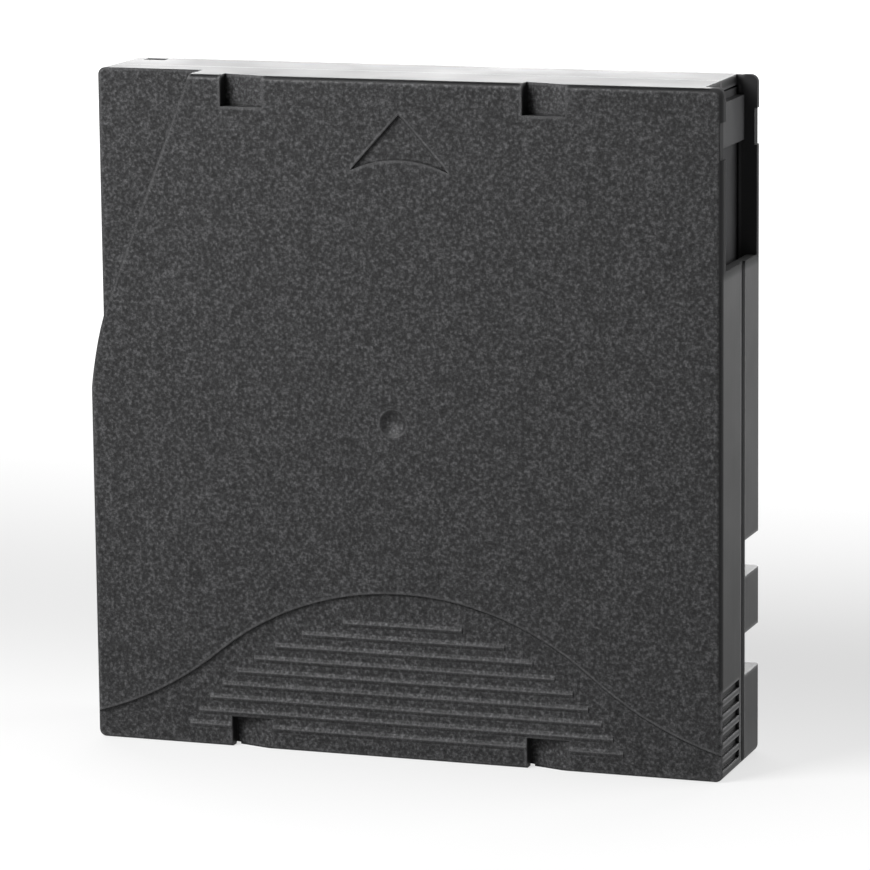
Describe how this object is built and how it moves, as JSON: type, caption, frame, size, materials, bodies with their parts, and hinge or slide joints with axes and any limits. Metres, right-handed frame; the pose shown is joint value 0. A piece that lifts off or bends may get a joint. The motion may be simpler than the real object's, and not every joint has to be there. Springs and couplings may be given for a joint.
{
  "type": "data tape cartridge",
  "caption": "Flat square tape cartridge with a sliding side door, one sprung-brake reel, a leader pin and a write-protect switch.",
  "frame": {"origin": "bottom centre of the bounding box: the cartridge stands on its rear wall", "axes": "+Z from the rear wall to the front edge that enters a drive, -Y out of the face with the arrow, +X towards the wall with the door"},
  "size_m": [0.102, 0.0216, 0.1054],
  "materials": {
    "case_plastic": "fine spark-eroded grain",
    "door_plastic": "smooth satin",
    "reel_plastic": "smooth satin",
    "pad_plastic": "smooth satin",
    "brake_plastic": "smooth satin",
    "slider_plastic": "smooth satin",
    "clip_plastic": "smooth satin",
    "board_laminate": "lacquered board",
    "tape_film": "glossy film",
    "wound_tape": "fine wound edges",
    "screw_steel": "zinc plated",
    "spring_wire": "drawn wire",
    "leaf_steel": "rolled strip",
    "pin_steel": "turned and polished",
    "washer_steel": "stamped"
  },
  "bodies": {
    "case": {"upper_case": "case_plastic", "lower_case": "case_plastic", "case_screw_rear_left": "screw_steel", "case_screw_rear_right": "screw_steel", "case_screw_front_left": "screw_steel", "case_screw_front_right": "screw_steel", "leader_pin": "pin_steel", "tape_clip": "clip_plastic", "tape_leader": "tape_film", "pin_spring": "leaf_steel", "cartridge_memory": "board_laminate", "door_spring": "spring_wire", "brake_spring": "spring_wire"},
    "door": {"door": "door_plastic"},
    "write_protect": {"write_protect_slider": "slider_plastic"},
    "reel": {"reel_hub": "reel_plastic", "upper_flange": "reel_plastic", "reel_washer": "washer_steel", "tape_pack": "wound_tape"},
    "release": {"release_pad": "pad_plastic"},
    "brake": {"brake": "brake_plastic"}
  },
  "joints": [
    {"name": "door_slide", "type": "slide", "parent": "case", "child": "door", "axis": [0, 0, -1], "range_m": [0, 0.0175], "stiffness_N_per_m": 25, "springref_m": -0.012, "deforming": ["door_spring"]},
    {"name": "write_protect_slide", "type": "slide", "parent": "case", "child": "write_protect", "axis": [1, 0, 0], "range_m": [0, 0.005]},
    {"name": "reel_spin", "type": "hinge", "parent": "case", "child": "reel", "pos_m": [-0.00105, 0, 0.0527], "axis": [0, -1, 0], "continuous": true},
    {"name": "brake_slide", "type": "slide", "parent": "case", "child": "brake", "axis": [0, -1, 0], "range_m": [0, 0.002], "stiffness_N_per_m": 500, "springref_m": -0.004, "deforming": ["brake_spring"]},
    {"name": "release_slide", "type": "slide", "parent": "reel", "child": "release", "axis": [0, -1, 0], "range_m": [0, 0.002]}
  ],
  "couplings": [
    {"joint": "release_slide", "follows": "brake_slide", "ratio": 1}
  ]
}
